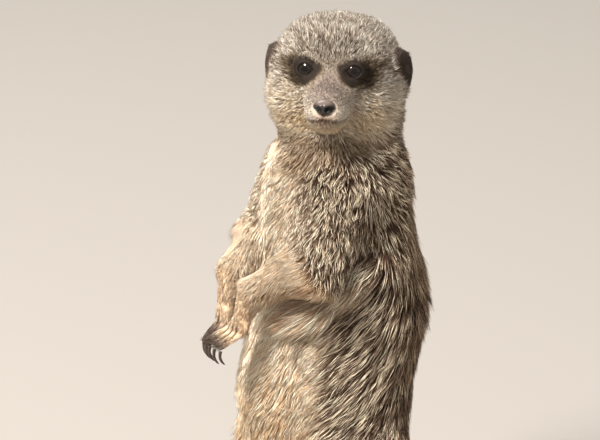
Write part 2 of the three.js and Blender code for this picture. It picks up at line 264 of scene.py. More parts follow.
# ------------------------------------------------------------------ skin
# The hide under the coat, one closed piece over head, trunk, limbs and tail. The flesh parts
# grow into each other, are wrapped as one surface, drawn in by the coat's depth and eased.
SKIN_GRAIN = 0.9 * MM
JOIN_OVER = 0.35 * MM
THIN_DIGITS = 0.45 * MM
COATS = {
    # part: coat depth, hair length, tuft width, tufts per square mm, lock spacing, easing
    "head": (3.0, 6.2, 0.34, 3.5, 1.4, 22),
    "neck": (5.5, 12.0, 0.40, 2.1, 2.2, 60),
    "trunk": (5.6, 14.0, 0.44, 1.2, 2.6, 90),
    "upper_arm": (4.6, 11.5, 0.38, 2.2, 2.3, 60),
    "forearm": (2.4, 9.0, 0.28, 3.0, 1.9, 30),
    "hand": (0.35, 4.0, 0.26, 3.6, 1.6, 5),
    "thigh": (5.2, 12.5, 0.54, 0.85, 2.8, 90),
    "shank": (2.4, 8.0, 0.46, 0.88, 2.4, 30),
    "foot": (0.5, 3.8, 0.40, 1.5, 1.5, 8),
    "tail_root": (3.2, 9.0, 0.50, 1.05, 2.4, 30),
    "tail_middle": (2.4, 7.5, 0.48, 1.2, 2.2, 30),
    "tail_tip": (1.8, 7.5, 0.46, 1.3, 2.0, 20),
    "ear": (0.35, 1.7, 0.26, 3.8, 1.0, 4),
}
KINDS = list(COATS)
flesh = [n for n in nodes if n.startswith(tuple(COATS))]
wrapped = flesh + ["eye_left", "eye_right", "nose"]
kind_of_part = np.array(
    [next((i for i, k in enumerate(KINDS) if n.startswith(k)), 0) for n in wrapped]
)

shell = bmesh.new()
whose = shell.faces.layers.int.new("whose")
for index, name in enumerate(wrapped):
    before = len(shell.faces)
    shell.from_mesh(nodes[name].data)
    shell.faces.ensure_lookup_table()
    for face in shell.faces[before:]:
        face[whose] = index
bmesh.ops.remove_doubles(shell, verts=shell.verts, dist=1e-7)
shell.normal_update()
shell.faces.ensure_lookup_table()
part_of_face = np.array([face[whose] for face in shell.faces])
flesh_tree = BVHTree.FromBMesh(shell)


def node_tree_of(name):
    mesh = nodes[name].data
    return BVHTree.FromPolygons([v.co for v in mesh.vertices], [p.vertices for p in mesh.polygons])


limb_ends = {n: node_tree_of(n) for n in flesh if n.startswith(("forearm", "shank"))}
for vert in shell.verts:
    name = wrapped[vert.link_faces[0][whose]]
    move = JOIN_OVER
    if name.startswith(("hand", "foot")):
        limb = name.replace("hand", "forearm").replace("foot", "shank")
        if limb_ends[limb].find_nearest(vert.co)[3] > 2 * MM:
            move = -THIN_DIGITS
    vert.co += vert.normal * move
skin_data = bpy.data.meshes.new("skin")
shell.to_mesh(skin_data)
shell.free()
skin = add_object("skin", skin_data)


def apply_modifiers(piece):
    """Keeps the piece's mesh as its modifiers leave it."""
    shaped = bpy.data.meshes.new_from_object(
        piece.evaluated_get(bpy.context.evaluated_depsgraph_get())
    )
    piece.modifiers.clear()
    piece.data = shaped
    shaped.name = piece.name


wrap = skin.modifiers.new("wrap", "REMESH")
wrap.mode = "VOXEL"
wrap.voxel_size = SKIN_GRAIN
apply_modifiers(skin)

# A finer grain on the muzzle, fingers and toes, and finer again round the eyes.
FINE_BY_EYE, FINE_BY_MUZZLE = 8.5, 17
MUZZLE_PLACE = (0, -34, -9)
FINGERS_FRONT, FINGERS_LOW, FINGERS_HIGH = -50, 150, 182
TOES_FRONT, TOES_HIGH = -24, 12
for muzzle_too in (True, False):
    grid = bmesh.new()
    grid.from_mesh(skin.data)
    places = in_head([v.co for v in grid.verts])
    near = np.linalg.norm(fold(places) - EYE_PLACE, axis=1) < FINE_BY_EYE
    if muzzle_too:
        near |= np.linalg.norm(places - MUZZLE_PLACE, axis=1) < FINE_BY_MUZZLE
        places = on_body([v.co for v in grid.verts])
        front, height = places[:, 1], places[:, 2]
        near |= (front < FINGERS_FRONT) & (height > FINGERS_LOW) & (height < FINGERS_HIGH)
        near |= (front < TOES_FRONT) & (height < TOES_HIGH)
    edges = [e for e in grid.edges if near[e.verts[0].index] and near[e.verts[1].index]]
    bmesh.ops.subdivide_edges(grid, edges=edges, cuts=1, use_grid_fill=True)
    grid.to_mesh(skin.data)
    grid.free()

count = len(skin.data.vertices)
edge_ends = np.empty(len(skin.data.edges) * 2, np.int32)
skin.data.edges.foreach_get("vertices", edge_ends)
edge_from, edge_to = edge_ends.reshape(-1, 2).T
degree = np.maximum(np.bincount(edge_ends, minlength=count), 1)


def from_neighbours(values):
    """For each point of the skin, the mean of its neighbours' values."""
    total = np.empty_like(values)
    for c in range(values.shape[1]):
        column = values[:, c]
        total[:, c] = np.bincount(edge_from, column[edge_to], count)
        total[:, c] += np.bincount(edge_to, column[edge_from], count)
    return total / degree[:, None]


def eased(values, rounds, share=0.5):
    flat = values.ndim == 1
    values = values[:, None] if flat else values
    for _ in range(rounds):
        values = values + (from_neighbours(values) - values) * share
    return values[:, 0] if flat else values


def skin_values(layer, name):
    """A value in three parts for each point of the skin."""
    values = np.empty(count * 3, np.float32)
    layer.foreach_get(name, values)
    return values.reshape(-1, 3).astype(float)


def set_skin(points):
    skin.data.vertices.foreach_set("co", points.astype(np.float32).ravel())
    skin.data.update()


def skin_normals():
    return skin_values(skin.data.vertex_normals, "vector")


def ease_skin(points, rounds, share=0.45):
    """Eases each part of the skin for as many rounds as its kind is given."""
    for step in range(max(rounds)):
        moved = eased(points, 1, share)
        points = np.where((rounds > step)[:, None], moved, points)
    return points


def rise(x, low, high):
    """0 up to low, 1 from high on and smooth between; low may be the larger."""
    t = np.clip((x - low) / (high - low), 0, 1)
    return t * t * (3 - 2 * t)


def near_spot(places, spot, radii):
    """1 at a spot, and falling off to 0 around it."""
    return np.exp(-(((places - np.asarray(spot)) / np.asarray(radii)) ** 2).sum(-1))


points = skin_values(skin.data.vertices, "co")
part = part_of_face[[flesh_tree.find_nearest(p)[2] for p in points]]
kind = kind_of_part[part]
kind_share = eased(np.eye(len(KINDS))[kind], 14)
ear_share = eased((kind == KINDS.index("ear")).astype(float), 2)
kind_share[:, -1] = 0
kind_share *= ((1 - ear_share) / np.maximum(kind_share.sum(1), 1e-6))[:, None]
kind_share[:, -1] = ear_share
is_kind = dict(zip(KINDS, kind_share.T))
coat = kind_share @ np.array(list(COATS.values()))
points = ease_skin(points, coat[:, 5].astype(int))


def share_of(*kinds):
    return np.clip(sum(is_kind[k] for k in kinds), 0, 1)


# Over the head the coat is thickest on the cheeks and thinnest on the muzzle and round the eyes.
head_share = is_kind["head"]
q = in_head(points)
folded = fold(q)
on_muzzle = rise(q[:, 1], -20, -30) * head_share
by_eye = near_spot(folded, EYE_PLACE + [1, -2, 0], (10, 12, 8)) * head_share
on_cheek = near_spot(folded, (23, -8, -12), (12, 13, 12)) * head_share
by_ear = near_spot(folded, (25, -2, -5), (5, 5, 12)) * head_share
on_crown = rise(q[:, 2], 6, 18) * head_share
depth = coat[:, 0] + on_cheek * 1.8 + by_ear * 0.6 - on_muzzle * 2.1 - by_eye * 1.7
length = coat[:, 1] + on_cheek * 4.4 - by_ear * 5.0 - on_crown * 0.4
length = length - on_muzzle * 3.9 - by_eye * 3.0
p = on_body(points)
above_digits = is_kind["foot"] * rise(p[:, 1], -22, 0) + is_kind["hand"] * rise(p[:, 2], 172, 184)
limb_share = 1 - share_of("head", "ear", "hand", "foot") + above_digits
depth = eased(depth, 4)
depth += (eased(depth, 50) - depth) * limb_share
length += (eased(length, 50) - length) * limb_share
over_bone = near_spot(p, (-9, -55, 197), (7, 6, 7)) + near_spot(p, (16, -56, 194), (8, 6, 8)) * 0.6
over_bone += near_spot(p * np.sign(p[:, :1]) ** [1, 0, 0], (31, -38, 68), (13, 9, 13)) * 0.8
depth += over_bone * 1.6
length -= over_bone * 3.8
depth = np.maximum(depth, 0.05)
set_skin(points)
points = points - unit(eased(skin_normals(), 6)) * depth[:, None] * MM
points = ease_skin(points, (coat[:, 5] * 0.25).astype(int))

# A fold runs forwards and down each flank under the elbow: a crease with a soft roll above it,
# and a groove between the arm and the flank.
ROLL_WIDE, ROLL_HEIGHT = 5.0, 5.0
FOLD_WIDE, FOLD_DEPTH = 3.4, 4.6
ARM_WIDE, ARM_DEPTH, ARM_LIFT = 4.2, 2.6, 2.5
FOLD_ON_RIGHT = 0.6  # as strong there as this share of the left
ROLL_LINE = [(34, 6, 204), (35.5, -4.6, 198), (34.5, -13, 193), (32.3, -19, 187.5)]
ROLL_LINE += [(24, -31, 180.5)]
FOLD_LINE = [(35, 7, 197), (36, -4, 190.5), (35, -13, 185.5), (32.5, -19.5, 180), (24, -31, 174)]
ARM_LINE = [(34, 2, 209), (36, -10, 203), (37, -20, 197), (34, -27, 191.5), (28, -33, 189)]


def along_line(line, steps=12):
    """Points along a smooth line through those given."""
    line = np.array(line, float)
    ends = np.vstack([2 * line[0] - line[1], line, 2 * line[-1] - line[-2]])
    t = np.linspace(0, 1, steps, endpoint=False)[:, None]
    spans = []
    for a, b, c, d in zip(ends, ends[1:], ends[2:], ends[3:]):
        curve, twist = 2 * a - 5 * b + 4 * c - d, 3 * b - a - 3 * c + d
        spans.append(0.5 * (2 * b + (c - a) * t + curve * t**2 + twist * t**3))
    return np.vstack(spans + [line[-1:]])


def from_line(places, line):
    """How far each place is from a line, which of its points is nearest, and those points."""
    smooth = along_line(line)
    gaps = np.full(len(places), np.inf)
    nearest = np.zeros(len(places), int)
    for i, spot in enumerate(smooth):
        gap = np.linalg.norm(places - spot, axis=1)
        closer = gap < gaps
        gaps[closer], nearest[closer] = gap[closer], i
    return gaps, nearest, smooth


def near_line(places, line, width):
    """1 on a line, and falling off to 0 beside it."""
    return np.exp(-((from_line(places, line)[0] / width) ** 2))


set_skin(points)
normals = unit(eased(skin_normals(), 8))
p = on_body(points) + normals * depth[:, None]
trunk_share = is_kind["trunk"]
fold_side = np.where(p[:, 0] > 0, 1.0, FOLD_ON_RIGHT)
p_left = p * mirror_of(p)
in_fold = near_line(p_left, FOLD_LINE, FOLD_WIDE) * trunk_share * fold_side
on_roll = near_line(p_left, ROLL_LINE, ROLL_WIDE) * trunk_share * fold_side
under_arm = near_line(p_left, ARM_LINE, ARM_WIDE) * fold_side
under_arm *= share_of("upper_arm", "forearm", "trunk")
heave = on_roll * ROLL_HEIGHT - in_fold * FOLD_DEPTH - under_arm * ARM_DEPTH
points = points + normals * (heave * MM)[:, None]
points[:, 2] += under_arm * ARM_LIFT * MM * share_of("upper_arm", "forearm")

# Fingers and toes are parted by grooves that run from the knuckles to the claws.
GROOVE_DEPTH = 0.5
GROOVE_WIDE = 0.17  # of the space between two digits
DIGITS = [
    # part, side, knuckles, across them, from knuckles to tips, spacing at each
    ("hand", 1, (13.5, -55.5, 175.5), (0.97, 0.2, -0.1), (0, -12.5, -6), (2.6, 3.5)),
    ("hand", -1, (-9, -52.5, 171.5), (-0.97, 0.2, -0.1), (0, -9, -9), (2.6, 3.5)),
    ("foot", 1, (28, -25, 5), (1, 0.07, 0), (0, -13, -1.6), (4.0, 5.0)),
    ("foot", -1, (-28, -25, 5), (-1, 0.07, 0), (0, -13, -1.6), (4.0, 5.0)),
]
p = on_body(points)
down_digits = np.full(count, -1.0)
between = np.zeros(count)
for paw, paw_side, knuckles, across, droop, (close, wide) in DIGITS:
    own = (is_kind[paw] > 0.02) & ((p[:, 0] > 2) == (paw_side > 0))
    out = p - knuckles
    reach = out @ unit(droop) / np.linalg.norm(droop)
    spacing = close + (wide - close) * np.clip(reach, 0, 1)
    sideways = out @ unit(across)
    gap = sideways - np.clip(np.round(sideways / spacing), -1, 1) * spacing
    groove = np.exp(-((gap / (GROOVE_WIDE * wide)) ** 2)) * rise(reach, -0.12, 0.15) * is_kind[paw]
    down_digits = np.where(own, reach, down_digits)
    between = np.where(own, groove, between)
points = points - normals * (between * GROOVE_DEPTH * MM)[:, None]

# The ears are cupped inside a thicker rim.
EAR_WIDE, EAR_HIGH, CUP_DEPTH = 11.4, 13, 1.4
EAR_PLACE = np.array([27.9, 1.0, -2.1])
EAR_BACK, EAR_OUT = np.array([0.292, 0.956, 0.0]), np.array([0.956, -0.292, 0.0])
q = in_head(points)
folded = fold(q)
from_ear = folded - EAR_PLACE
off_middle = from_ear @ EAR_BACK / EAR_WIDE + 0.1, from_ear[:, 2] / EAR_HIGH - 0.05
cup = np.exp(-(off_middle[0] / 0.42) ** 2 - (off_middle[1] / 0.5) ** 2)
cup *= rise(from_ear @ EAR_OUT, 0, 0.8) * is_kind["ear"]
points = points - normals * (cup * CUP_DEPTH * MM)[:, None]

# The mouth is a line under the whisker pads, and the pads part below the nose.
MOUTH_WIDE, MOUTH_DEPTH = 0.75, 0.9
PARTING_WIDE, PARTING_DEPTH = 0.6, 0.6
MOUTH_LINE = [(0, -44, -14.0), (4, -42.3, -14.6), (8, -36, -14.5), (10, -29, -14.0)]
MOUTH_LINE += [(11.7, -23, -13.2)]
PAD_PARTING = [(0, -45, -11.2), (0, -44.5, -12.8), (0, -44, -14.0)]
q = in_head(points)
folded = fold(q)
in_mouth = near_line(folded, MOUTH_LINE, MOUTH_WIDE) * head_share
in_parting = near_line(folded, PAD_PARTING, PARTING_WIDE) * head_share
points = points - normals * ((in_mouth * MOUTH_DEPTH + in_parting * PARTING_DEPTH) * MM)[:, None]

# The lids close over each eyeball but for a nearly round opening, and follow its curve.
EYE_RADIUS = 5.0
GAZE = unit(np.array([0.15, -0.97, 0.07]))
LID_THICK, LID_REACH = 0.5, 4
BROW_THICK = 0.8
SKIN_BEHIND_EYE = 0.9
OPENING = np.radians([40.0, 31.0])  # half its width and height, from the eye's middle
lid_across = unit(np.cross(GAZE, [0, 0, 1]) * -1)
lid_up = unit(np.cross(GAZE, lid_across))
lid_up *= np.sign(lid_up[2])


def from_opening(places):
    """How far out each place lies round the eye: 1 on the lids' edge, and its distance in mm."""
    out = places - EYE_PLACE
    away = np.linalg.norm(out, axis=1)
    ahead = out @ GAZE
    wide = np.arctan2(out @ lid_across, ahead) / OPENING[0]
    high = np.arctan2(out @ lid_up, ahead) / OPENING[1]
    return np.where(ahead > -0.3 * away, np.hypot(wide, high), 9.0), away, unit(out)


for ease_rounds in (6, 2, 0):
    q = in_head(points)
    side = mirror_of(q)
    ring, away, outward = from_opening(q * side)
    lid = (away < EYE_RADIUS + LID_REACH) & (ring < 4)
    brow = rise(outward[:, 2], 0.15, 0.7) * BROW_THICK
    covering = lid & (ring >= 1)
    inside = lid & (ring < 1)
    target = away.copy()
    target[covering] = np.maximum(away, EYE_RADIUS + LID_THICK + brow)[covering]
    target[inside] = np.minimum(away, EYE_RADIUS - SKIN_BEHIND_EYE)[inside]
    moved = (EYE_PLACE + outward * target[:, None]) * side
    points = np.where(lid[:, None], from_head(moved), points)
    if ease_rounds:
        near_lid = eased(lid.astype(float), 4) > 0.02
        points = np.where(near_lid[:, None], eased(points, ease_rounds, 0.4), points)

# The skin tucks in behind the nose pad.
q = in_head(points)
nose_out = (q - NOSE_PLACE) / NOSE_SIZE
nose_reach = np.linalg.norm(nose_out, axis=1)
tucked = from_head(NOSE_PLACE + [0, 1.2, 0] + unit(nose_out) * NOSE_SIZE * 0.55)
points = np.where((nose_reach < 1.12)[:, None], tucked, points)

# The soles press flat on the floor.
SOLE_HEIGHT, SOLE_REACH = 0.15, 1.0
sole = (is_kind["foot"] > 0.3) & (points[:, 2] < SOLE_REACH * MM)
points[sole, 2] = SOLE_HEIGHT * MM
set_skin(points)

# ------------------------------------------------------------------ markings
# Grizzled brown over the back and crown, cream on cheeks, chest and belly, near-black ears,
# eye patches and tail tip. The same colours go to the skin and to the coat that grows from it:
# at the root, in the dark band, and at the tip of a hair.
# Some marks are painted shade: the crease of the flank fold, the grooves between digits, the
# mouth's crease and parting, the ears' hollows, and the right hand's digits near the knuckles.
CREAM = ((206, 168, 130), (246, 220, 187), (255, 246, 228))
GRIZZLE = ((20, 13, 9), (78, 54, 38), (255, 235, 206))
BACK = ((20, 13, 9), (76, 53, 37), (246, 218, 184))
STRIPE_AND_CREASE_SHADE = ((24, 16, 11), (44, 31, 22), (112, 83, 59))
FRINGE = ((66, 48, 34), (196, 164, 128), (255, 245, 224))
TAN = ((182, 136, 95), (236, 194, 146), (255, 231, 195))
CROWN = ((70, 59, 49), (138, 122, 105), (242, 234, 220))
BROW = ((48, 40, 33), (98, 85, 71), (206, 194, 176))
CHEEK = ((116, 93, 70), (222, 200, 170), (255, 249, 236))
MUZZLE = ((84, 71, 64), (116, 101, 93), (162, 147, 137))
PAD = ((176, 158, 140), (216, 202, 184), (242, 234, 222))
LIP = ((92, 64, 55), (122, 90, 78), (188, 160, 142))
PATCH_AND_SHADE = ((22, 15, 10), (40, 29, 19), (92, 74, 53))
SOOT = ((46, 37, 28), (84, 70, 53), (150, 132, 106))
LID = ((16, 10, 7), (24, 17, 11), (54, 42, 29))
EAR = ((36, 28, 24), (56, 45, 38), (92, 76, 64))
THROAT = ((46, 33, 24), (102, 77, 55), (230, 203, 168))
OCHRE = ((140, 113, 82), (212, 182, 143), (250, 232, 202))
ARM = ((84, 58, 39), (174, 134, 98), (251, 230, 198))
PIT = ((150, 102, 84), (178, 126, 104), (220, 180, 152))
DIGIT = ((44, 35, 31), (74, 61, 54), (124, 108, 96))
PAW = ((92, 72, 55), (168, 141, 114), (230, 210, 182))
TAIL = ((92, 66, 45), (154, 119, 84), (210, 180, 140))
TAIL_END = ((28, 21, 17), (40, 30, 24), (60, 46, 36))

p = on_body(points)
q = in_head(points)
folded = fold(q)


def waves(places, size, seed):
    """A slow, even wander between -1 and 1 over the places."""
    draw = np.random.default_rng(seed)
    total = np.zeros(len(places))
    for _ in range(6):
        way = unit(draw.normal(size=3)) * (2 * math.pi / size) * draw.uniform(0.6, 1.5)
        total += np.sin(places @ way + draw.uniform(0, 2 * math.pi))
    return total / 6 * 1.6


marks = np.repeat(np.array(GRIZZLE, float)[None], count, axis=0)


def mark(colours, share):
    """Lays a marking over those already there."""
    global marks
    marks[:] += (np.array(colours, float) - marks) * np.clip(share, 0, 1)[:, None, None]


STRIPE_GAP = 15
wander = waves(p, 26, 1)
round_body = np.abs(round_front(p)) + wander * 6
body_share = share_of("trunk", "neck", "thigh", "upper_arm")
mark(BACK, rise(round_body, 100, 155) * body_share)
stripes = rise(np.sin(p[:, 2] * 2 * math.pi / STRIPE_GAP + wander * 0.8), 0.15, 0.75)
banded = rise(round_body, 106, 140) * rise(p[:, 2], 215, 180)
mark(STRIPE_AND_CREASE_SHADE, stripes * banded * share_of("trunk", "thigh") * 0.8)
front_edge = 54 + rise(p[:, 2], 196, 176) * 9 - rise(p[:, 2], 160, 120) * 6
front = rise(round_body, front_edge + 14, front_edge - 12)
turned = round_front(p)
mark(CREAM, front * share_of("trunk", "neck", "thigh"))
mark(TAN, front * rise(p[:, 2], 180, 95) * share_of("trunk", "thigh") * 0.8)
# painted shade: the crease of the flank fold under the elbow is darkened with the stripes' dark
# brown
mark(STRIPE_AND_CREASE_SHADE, in_fold * 1.3 * rise(p[:, 1], 10, -4) * rise(p[:, 1], -30, -20))
mark(FRINGE, on_roll**1.4 * 1.1 * rise(p[:, 1], 8, -8))
mark(ARM, share_of("forearm", "shank", "hand", "foot"))
to_side = skin_normals() @ np.eye(3)[0] * np.sign(p[:, 0])
to_front = eased(-skin_normals()[:, 1] + skin_normals()[:, 2] * 0.4, 6)
inner_arm = np.maximum(rise(to_side, 0.35, -0.3), rise(to_front, 0.55, 0.95) * 0.8)
mark(CREAM, inner_arm * (is_kind["forearm"] * 0.9 + is_kind["hand"] * 0.35))
mark(CREAM, inner_arm * is_kind["upper_arm"] * rise(p[:, 2], 250, 225) * 0.6)
mark(CREAM, (is_kind["forearm"] + is_kind["hand"] * 0.4) * rise(p[:, 2], 202, 186) * 0.6)
mark(PIT, near_spot(p_left, (29, -32, 190), (8, 7, 6)) * share_of("trunk", "forearm") * 0.75)
past_knuckles = rise(down_digits, 0.0, 0.3)
# The digits darken towards the claws; on the right hand, the one away from the camera, the dark
# starts near the knuckles as painted shade.
darkening = np.where(p[:, 0] > 2, 0.38, 0.05)
mark(DIGIT, rise(down_digits, darkening, darkening + 0.45) * is_kind["hand"])
# painted shade: the grooves between the fingers and toes are darkened
mark(PATCH_AND_SHADE, between * 0.85 * (is_kind["hand"] + is_kind["foot"] * 0.5))
mark(CREAM, is_kind["shank"] * rise(p[:, 1], 4, -16) * 0.6)
mark(PAW, is_kind["foot"])
mark(DIGIT, is_kind["foot"] * np.maximum(rise(p[:, 1], -28, -42) * 0.7, rise(p[:, 2], 3, 1)))

# the tail darkens to its tip
TAIL_LINE = [(0, 12, 98), (0, 36, 80), (1, 56, 50), (4, 80, 20)]
TAIL_LINE += [(10, 112, 8), (22, 150, 6.4), (42, 184, 4.6), (62, 203, 3.4)]
_, tail_step, tail_points = from_line(p, TAIL_LINE)
down_tail = tail_step / (len(tail_points) - 1)
tail_share = share_of("tail_root", "tail_middle", "tail_tip")
mark(TAIL, tail_share)
mark(TAIL_END, tail_share * rise(down_tail, 0.78, 0.9))

# head and face
neck_front = share_of("neck") * rise(round_body, 80, 50)
mark(THROAT, neck_front * rise(turned, -8, 22) * rise(p[:, 2], 240, 252))
mark(CROWN, head_share)
mark(CROWN, share_of("neck") * rise(p[:, 2], 250, 266) * rise(round_body, 80, 110) * 0.5)
mark(CHEEK, head_share * rise(folded[:, 0] - q[:, 2] * 0.9, 22, 34) * rise(q[:, 1], 14, 0))
mark(CHEEK, near_spot(folded, (16, -20, -11), (12, 11, 9)) * head_share * 1.2)
mark(OCHRE, near_spot(folded, (15, -20, -18.5), (14, 12, 6)) * head_share)
mark(OCHRE, near_spot(folded, (6, -36, -18.5), (10, 9, 4.5)) * head_share * 1.3)
mark(THROAT, rise(q[:, 2], -23, -28) * rise(turned, -8, 22) * head_share * 0.85)
mark(GRIZZLE, head_share * rise(q[:, 1] - q[:, 2] * 0.45, 0, 8) * rise(q[:, 2], 6, -13))
mark(BROW, near_spot(folded, (2, -25, 8), (9, 10, 11)) * head_share * 0.95)
mark(MUZZLE, near_spot(folded, (0, -35, -2), (6.5, 9, 6)) * head_share * 1.2)
mark(PAD, near_spot(folded, (7, -36, -12), (5.5, 9, 4.5)) * head_share * 1.2)
from_eye = folded - EYE_PLACE
wide, high = from_eye @ lid_across, from_eye @ lid_up
patch_wide = np.where(wide > 0, 9.2, 7.0)
patch_high = np.where(high > 0, 4.0 + rise(wide, 0, 5) * 1.4, 6.4 + rise(wide, -2, 4) * 1.8)
patch_reach = np.hypot(wide / patch_wide, high / patch_high)
patch_reach += np.where(np.linalg.norm(from_eye, axis=1) > 14, 9, 0)
patch_reach += waves(p, 7, 2) * 0.12 + waves(p, 2.6, 5) * 0.1
streak = near_spot(folded, (18.5, -18, 5.4), (4.5, 6, 1.8)) * 0.9
mark(SOOT, np.maximum(rise(patch_reach, 1.2, 0.9), streak) * head_share)
mark(PATCH_AND_SHADE, np.maximum(rise(patch_reach, 1.0, 0.7), streak * 0.6) * head_share)
opening_reach, eye_away, _ = from_opening(folded)
mark(LID, rise(opening_reach, 2.1, 1.5) * rise(eye_away, 10, 8) * head_share)
lips = near_line(folded, MOUTH_LINE, 1.0) * head_share
mark(LIP, near_spot(folded, (0, -43, -13.8), (4, 4, 1.6)) * head_share)
# The mouth line is darkened as dark lip edge and as painted shade in its crease; the parting of the
# pads below the nose is darkened as painted shade.
mark(PATCH_AND_SHADE, lips * rise(folded[:, 0], 16, 6) * 0.85 + in_parting * 0.7)
mark(EAR, share_of("ear") + head_share * near_spot(folded, (21, 12, -3), (5, 5, 9)) * 0.6)
# painted shade in the cupped hollow of each ear
mark(PATCH_AND_SHADE, cup * 0.8)

bare = np.clip(share_of("hand", "foot", "ear") + on_muzzle * 0.8 + by_eye * 0.6, 0, 1)
hide_colour = marks[:, 0] * 0.6 + marks[:, 1] * 0.4
hide_colour += (marks[:, 1] * 0.75 + marks[:, 2] * 0.25 - hide_colour) * bare[:, None]

# The skin's own material: the markings, and the nap of the shortest fur as a fine bump.
def colour_attribute(mesh, name, colours):
    """A colour for each point of a mesh, mixed on a scale of 0 to 255."""
    layer = mesh.attributes.new(name, "FLOAT_COLOR", "POINT")
    values = np.ones((len(colours), 4), np.float32)
    values[:, :3] = linear(np.clip(colours, 0, 255))
    layer.data.foreach_set("color", values.ravel())


def attribute(tree, name, out=0):
    return shader_node(tree, "ShaderNodeAttribute", {"attribute_name": name}, out=out)


def place_on(tree):
    return shader_node(tree, "ShaderNodeTexCoord", {}, out=3)


def noise(tree, place, size, detail):
    return shader_node(tree, "ShaderNodeTexNoise", {}, place, None, size, detail)


colour_attribute(skin.data, "markings", hide_colour)
skin_material, tree, shader = new_material("skin_and_nap", 0.75, 0.25)
place = place_on(tree)
nap = noise(tree, place, 1400.0, 3.0)
mottle = noise(tree, place, 420.0, 2.0)
shown = mixed(mottle.between(0.35, 0.75) * 0.18, attribute(tree, "markings"), rgba(70, 52, 42))
feed(shader, "Base Color", shown)
bump = shader_node(tree, "ShaderNodeBump", {}, 0.5, 0.0004)
tree.links.new(nap.socket, bump.socket.node.inputs["Height"])
feed(shader, "Normal", bump)
skin.data.materials.append(skin_material)
skin.data.shade_smooth()
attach(skin, "root")
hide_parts(*flesh)

# ------------------------------------------------------------------ coat
# Solid pointed tufts rooted in the skin, gathered into locks. They lie back over the head from
# the nose, down the trunk, and along each limb and the tail to its end.
normals = unit(eased(skin_normals(), 2))
LIMB_WAYS = {
    "upper_arm": (12.5, -13, -32),
    "forearm": (-17, -25, -20),
    "hand": (-2, -7, -17),
    "thigh": (6, -18, -40),
    "shank": (-3, 16, -54),
    "foot": (1, -40, -6),
    "ear": (14, 4, 18),
}
lie = np.zeros((count, 3))
at_wrist = rise(-p[:, 1], 34, 48)[:, None]
at_knee = np.maximum(rise(p[:, 2], 98, 76), near_spot(p_left, (31, -38, 76), (16, 12, 16)))[:, None]
for name, way in LIMB_WAYS.items():
    ways = np.repeat(unit(way)[None], count, axis=0)
    if name == "forearm":
        ways = unit(ways + (unit(LIMB_WAYS["hand"]) - ways) * at_wrist)
    if name == "thigh":
        ways = unit(ways + (unit(LIMB_WAYS["shank"]) - ways) * at_knee)
    ways[p[:, 0] < 0] *= MIRROR
    if name == "ear":
        ways = ways @ head_axes
    lie += ways * is_kind[name][:, None]
lie += np.array([0.0, -0.9, 0.45]) * past_knuckles[:, None]
head_ways = unit(q - [0, -46, -5]) @ head_axes
lie += head_ways * head_share[:, None]
tail_next = tail_points[np.minimum(tail_step + 1, len(tail_points) - 1)]
tail_ways = unit(tail_next - tail_points[np.maximum(tail_step - 1, 0)])
lie += tail_ways * tail_share[:, None]

# down the trunk, leaning forwards over the flanks, and swept back round the sides of the neck
side = np.sign(p[:, 0])
bare_angle = np.abs(round_front(p))
lean = rise(bare_angle, 35, 62) * rise(bare_angle, 150, 105) * rise(p[:, 2], 208, 182)
swept = rise(bare_angle, 30, 70) * rise(p[:, 2], 205, 238)
body_ways = np.stack(
    [
        -side * 0.35 * rise(bare_angle, 70, 30),
        -1.25 * lean + 0.75 * swept,
        -1.0 + 0.25 * lean,
    ],
    axis=1,
)
body_ways = unit(body_ways)
_, roll_step, roll_points = from_line(p_left, ROLL_LINE)
roll_way = unit(np.gradient(roll_points, axis=0))[roll_step] * mirror_of(p)
body_ways = unit(body_ways + (roll_way - body_ways) * np.clip(on_roll * 1.5, 0, 1)[:, None])
lie += body_ways * share_of("trunk", "neck")[:, None]


def along_skin(ways):
    return unit(ways - normals * (ways * normals).sum(1, keepdims=True))


lie = along_skin(lie)
for _ in range(8):
    lie = along_skin(eased(lie, 6))
turn = waves(p, 17, 3) * math.radians(11) + waves(p, 7, 4) * math.radians(8)
lie = unit(lie * np.cos(turn)[:, None] + np.cross(normals, lie) * np.sin(turn)[:, None])

length = np.maximum(eased(length, 14), 0.8)
length += (lean * 4.5 + on_roll * 7.0) * trunk_share - inner_arm * is_kind["upper_arm"] * 4.5
nose_gap = np.linalg.norm((q - NOSE_PLACE) / NOSE_SIZE, axis=1)
length *= 0.6 + 0.4 * rise(nose_gap, 1.1, 2.4)
lift = np.clip(depth / length * 1.08, 0.1, 0.62)
width = coat[:, 2] * (1 - 0.25 * on_muzzle - 0.3 * by_eye)
density = coat[:, 3] * (1 + 0.5 * on_muzzle + by_eye + 0.9 * on_roll)
ring, away, _ = from_opening(q * mirror_of(q))
bald = ((ring < 1.18) & (away < EYE_RADIUS + LID_REACH)) | (nose_gap < 1.08)
bald |= (p[:, 2] < 1.2) | (in_mouth > 0.7)
density = np.where(bald, 0, density)

skin.data.calc_loop_triangles()
corners = np.empty(len(skin.data.loop_triangles) * 3, np.int32)
skin.data.loop_triangles.foreach_get("vertices", corners)
corners = corners.reshape(-1, 3)
a, b, c = points[corners[:, 0]], points[corners[:, 1]], points[corners[:, 2]]
areas = np.linalg.norm(np.cross(b - a, c - a), axis=1) / 2 / MM**2
wanted = areas * density[corners].mean(1)
draw = np.random.default_rng(11)
tuft_count = int(wanted.sum())
chosen = np.searchsorted(np.cumsum(wanted), draw.uniform(0, wanted.sum(), tuft_count))
corner_share = draw.dirichlet((1, 1, 1), tuft_count)


def at_roots(values):
    """A value of the skin's points, carried to the tufts' roots."""
    picked = values[corners[chosen]]
    weights = corner_share.reshape(corner_share.shape + (1,) * (picked.ndim - 2))
    return (picked * weights).sum(1)


